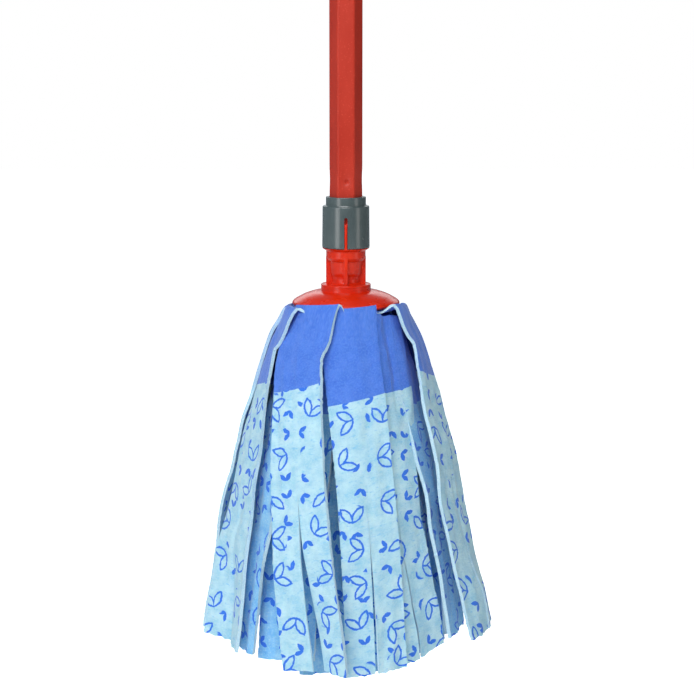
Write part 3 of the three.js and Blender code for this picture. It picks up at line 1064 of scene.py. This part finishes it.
def frayed(count, faces):
    """1 at the points along a band's long sides, 0 elsewhere."""
    fray = np.zeros(count)
    for quad, _, half, _, j in faces:
        if half == 0 and j == 0:
            fray[list(quad[:2])] = 1
        if half == 1 and j == COLUMNS - 1:
            fray[list(quad[2:])] = 1
    return fray


def point_normals(points, quads):
    normals = np.zeros_like(points)
    for a, b, c, d in quads:
        normal = np.cross(points[c] - points[a], points[d] - points[b])
        for k in (a, b, c, d):
            normals[k] += normal
    return normals / np.maximum(np.linalg.norm(normals, axis=1), 1e-9)[:, None]


def map_cloth(mesh, number, faces, maps, count):
    """UV map in metres: x across, with its own stretch of cloth for each end, y along from the clamp."""
    corner_uv = {}
    for k, (quad, which, half, i, j) in enumerate(faces):
        end, s, v = maps[2 * which + half]
        offset = 0.1 * (2 * number + which) + 0.05
        corners = ((i, j), (i + 1, j), (i + 1, j + 1), (i, j + 1))
        for vertex, (p, q) in zip(quad, corners):
            along = s[p, q] - end.border - end.tilt * v[p, q]
            corner_uv[(k, vertex)] = (offset + v[p, q] * MM, along * MM)
    layer = mesh.uv_layers.new(name="cloth")
    for k, polygon in enumerate(mesh.polygons[:2 * len(faces)]):
        for loop in polygon.loop_indices:
            vertex = mesh.loops[loop].vertex_index % count
            layer.data[loop].uv = corner_uv[(k % len(faces), vertex)]


def band_object(number, points, faces, maps, materials):
    """The closed mesh of a band: two sides of printed cloth, and the cut edge all round them."""
    quads = [face[0] for face in faces]
    reach = np.hypot(points[:, 0], points[:, 1])
    fray = frayed(len(points), faces)
    thickness = 0.9 + 0.7 * smoothstep(reach, 36, 48) + 0.9 * fray * smoothstep(reach, 40, 52)
    verts, sides, walls = thicken(points, quads, point_normals(points, quads), thickness)
    node = f"cloth_band_{number:02d}"
    name = node + "_cloth"
    mesh = bpy.data.meshes.new(name)
    mesh.from_pydata([(x * MM, y * MM, RIM + z * MM) for x, y, z in verts], [], sides + walls)
    for material in materials:
        mesh.materials.append(material)
    for polygon in mesh.polygons[len(sides):]:
        polygon.material_index = 1
    map_cloth(mesh, number, faces, maps, len(points))
    obj = add_object(name, mesh)
    smooth_by_angle(mesh, CLOTH_SMOOTH_ANGLE)
    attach(obj, "head")
    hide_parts(node)


def inner_end(seed, turn, roll, push, trim):
    """An end that fills a gap between the outer ones, with its sway, twist and cut from seeded noise."""
    sway = [turn + 4 * noise.noise((seed, i * 1.9, 4.2)) for i in range(4)]
    left_tail = (-0.6 - 0.6 * noise.noise((seed, 1, 1)), 0, 24 * noise.noise((seed, 8.1, 2.2)))
    right_tail = (0.5, 0, -24 * noise.noise((seed, 3.3, 9.9)))
    return End(
        sway, lift=((0, 0), (1, 1), (1.5, 1.5)), tails=(left_tail, right_tail), wave=1.3, shoulder=(1, 1),
        trim=trim, slant=0.25 * noise.noise((seed, 5.5, 0.3)), border=6 * noise.noise((seed, 2, 7)),
        roll=(0, roll, roll), bulge=(0, 0.3 * push, 0.7 * push, push),
    )


def outer_bands():
    """The outer bands from the outermost in, each with its front end and its end at the back."""
    far_right = (
        End((66, 79, 73.5, 69, 66, 64, 64, 64.5, 65), lift=((3, 0), (1.5, 0), (0.5, 1)), slant=-0.12,
            border=-4, tilt=0.05, trim=-12, bulge=(0, 0, 0, 2, 9), shoulder=(13, 3),
            tails=((-0.5, 0, 6), (1, -1, -16))),
        End((-112, -108, -106, -104), lift=((1, 1), (2, 2), (1, 1)), tails=((-2, 0, 8), (2, 0, -8)),
            slant=0.1),
    )
    far_left = (
        End((-62, -84, -79, -71, -67, -64, -62, -60, -59), lift=((0, 3), (0, 1.5), (1, 1)), slant=0.12,
            border=2, tilt=0.03, trim=-7, shoulder=(3, 14), tails=((3, 1, -42), (3, 0, 22))),
        End((118, 114, 112, 110), lift=((1, 1), (2, 1), (1, 1)), tails=((-2, 1, 10), (3, 0, 12)),
            slant=-0.1),
    )
    left_front = (
        End((-26, -39, -34.5, -29.5, -25.5, -22, -18.5, -15, -12), lift=((0, 5), (1, 3), (0.5, 1)),
            slant=0.12, border=-4, tilt=-0.06, bulge=(0, 1, 1.5, 1), shoulder=(9, 19),
            tails=((-1.5, 1, -6), (3, -1, 38))),
        End((158, 160, 163, 165), lift=((2, 1), (2, 2), (1, 1)), tails=((-2, 0, -12), (2, 0, 8)),
            slant=0.1),
    )
    centre_front = (
        End((1, 7, 10.5, 12, 12.5), lift=((0, 2), (0, 1.5), (0, 1)), slant=-0.12, tilt=-0.13,
            trim=2, shoulder=(14, 15.5), tails=((-0.5, 0, 4), (1.5, 1.5, -4))),
        End((196, 200, 202, 204), lift=((1, 2), (2, 2), (1, 1)), tails=((-3, 0, 14), (2, 1, -8)),
            slant=-0.1),
    )
    right_front = (
        End((36, 34, 28, 31, 35), lift=((0, 0), (1, 0), (0, 1)), slant=-0.2, border=-7, tilt=-0.14, trim=-3,
            pleat=(4, 2.4, 4.2, 46, 104), shoulder=(15, 8), tails=((-1.5, 0, 4), (2.5, -2, 10))),
        End((238, 236, 235, 234), lift=((1, 1), (1, 2), (1, 1)), tails=((-2, 0, -8), (2, 0, 10))),
    )
    return [far_right, far_left, left_front, centre_front, right_front]


def inner_bands():
    """The seven bands inside the outer ones: azimuth, roll, stand-off and extra length of each end."""
    pairs = [
        ((-54, 16, 6, -5), (132, 10, 0, 0)),
        ((65, -12, 8, -12), (268, -8, 3, 0)),
        ((-31, -6, 5, -1), (146, 6, 0, 0)),
        ((52, -8, 6, -4), (232, 12, 0, 0)),
        ((-70, 12, 9, -4), (104, 0, 6, 0)),
        ((-7, -24, 0, 9), (178, -8, 0, 0)),
        ((10, 10, 0, 9), (204, -10, 0, 4)),
    ]
    bands = []
    for k, pair in enumerate(pairs):
        bands.append([inner_end(3.0 * k + 1.3 * which, *end) for which, end in enumerate(pair)])
    return bands


# ---- assembly
make_camera()
make_floor()
make_lights()
make_world()

steel = painted_steel()
grey = grey_plastic()
red = red_plastic()
outer_cloth = cloth("printed_cloth", linear(157, 206, 228), linear(190, 225, 237), linear(116, 189, 229))
# Painted shade: the inner bands get a deeper, more saturated blue copy of the same cloth, standing for the
# shade they hang in between the outer bands
shaded_inner_cloth = cloth("shaded_inner_cloth", linear(116, 184, 236), linear(146, 203, 240), linear(92, 166, 230))
cut_edge = cloth_edge()

for tube_node in ("upper_tube", "middle_tube", "lower_tube"):
    make_tube(tube_node, steel, crimped=tube_node == "lower_tube")
for coupler_node in ("upper_coupler", "lower_coupler"):
    make_coupler(coupler_node, grey)
make_end_cap(grey)
make_adapter(grey)
make_socket(red)
make_clamp_plate(red)
for place, band_ends in enumerate(outer_bands() + inner_bands()):
    # the inner bands take the cloth copy with painted shade
    face_cloth = outer_cloth if place < OUTER_COUNT else shaded_inner_cloth
    make_band(place + 1, place, band_ends, face_cloth, cut_edge)
